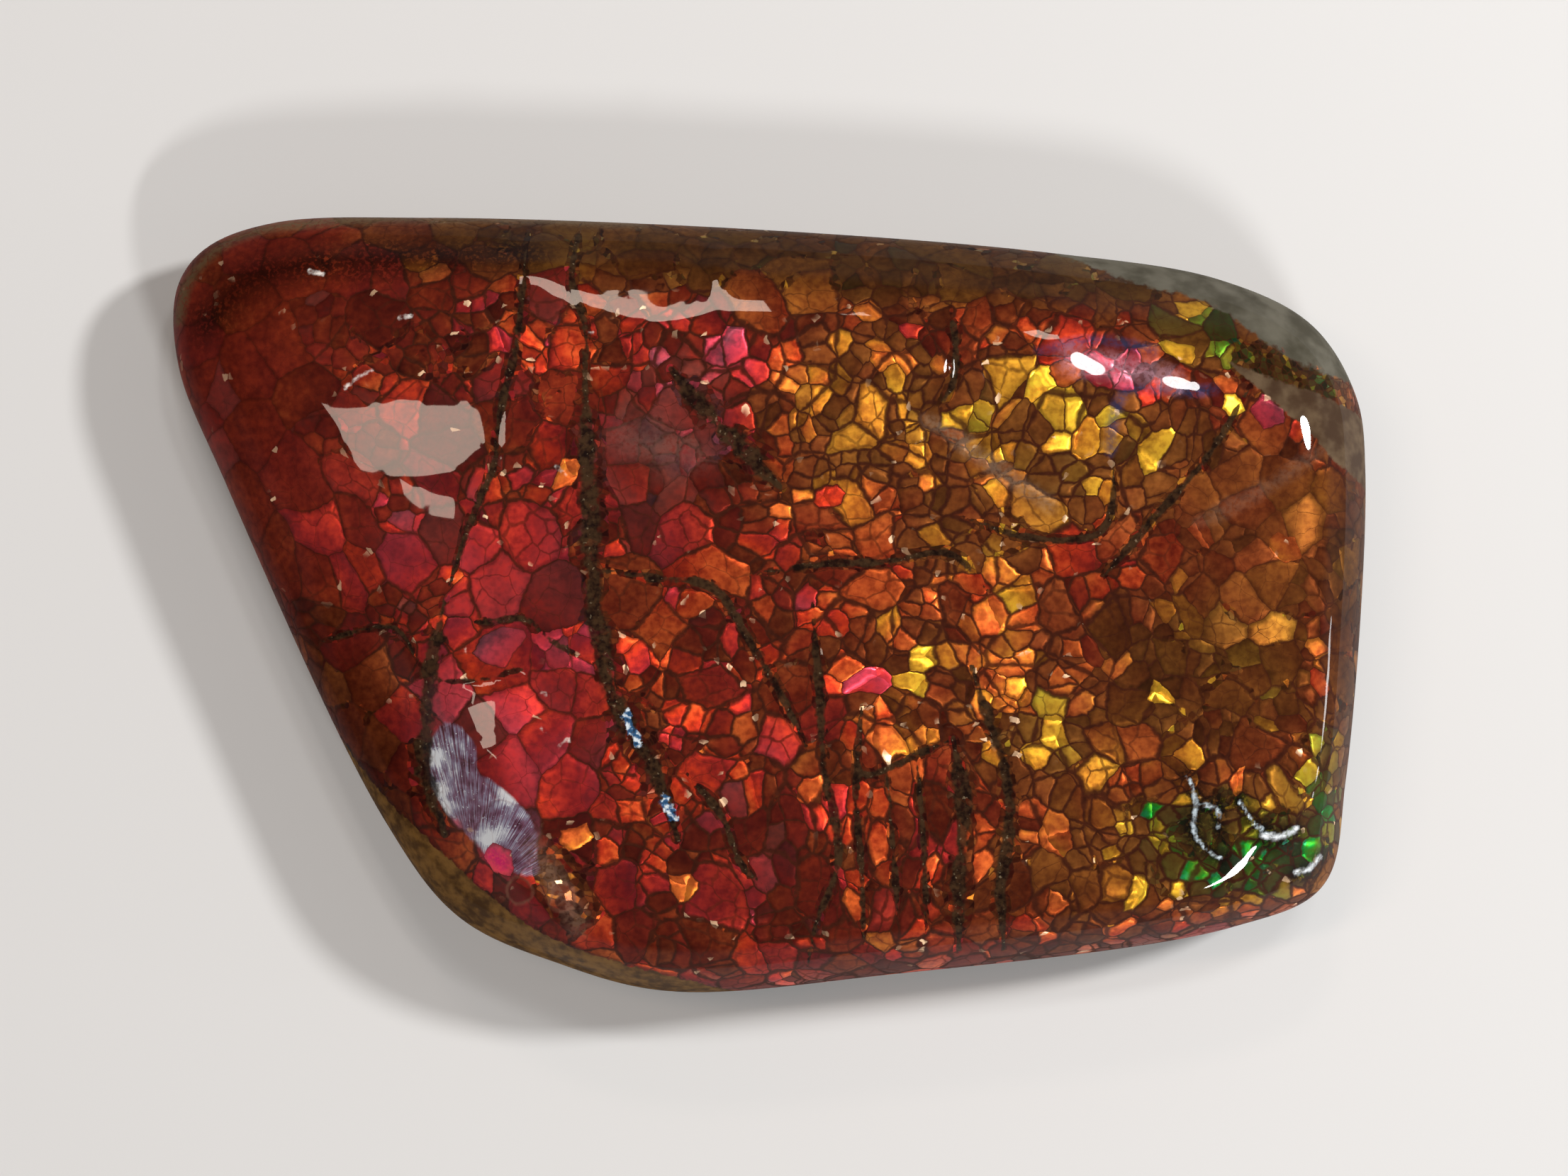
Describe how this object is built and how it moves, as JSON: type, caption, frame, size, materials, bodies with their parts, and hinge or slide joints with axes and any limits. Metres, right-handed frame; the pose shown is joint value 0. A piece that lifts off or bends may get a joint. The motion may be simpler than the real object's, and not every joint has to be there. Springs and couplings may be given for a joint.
{
  "type": "ammolite specimen",
  "caption": "Polished freeform slab of ammolite: a domed face of cracked iridescent fossil shell on its own dark stone, with a flat sawn back to lie on.",
  "frame": {"origin": "middle of the flat sawn back, under the centre of the outline", "axes": "+Z leaves the shell face, +X runs along the long side towards the blunt end, +Y points to the straighter long edge"},
  "size_m": [0.1402, 0.091, 0.0233],
  "materials": {
    "ammolite": "mirror-polished iridescent shell mosaic in red, orange, gold and green, cracked in dark brown, on dark ironstone with an ochre rim"
  },
  "bodies": {
    "root": {"ammolite_slab": "ammolite"}
  },
  "joints": []
}
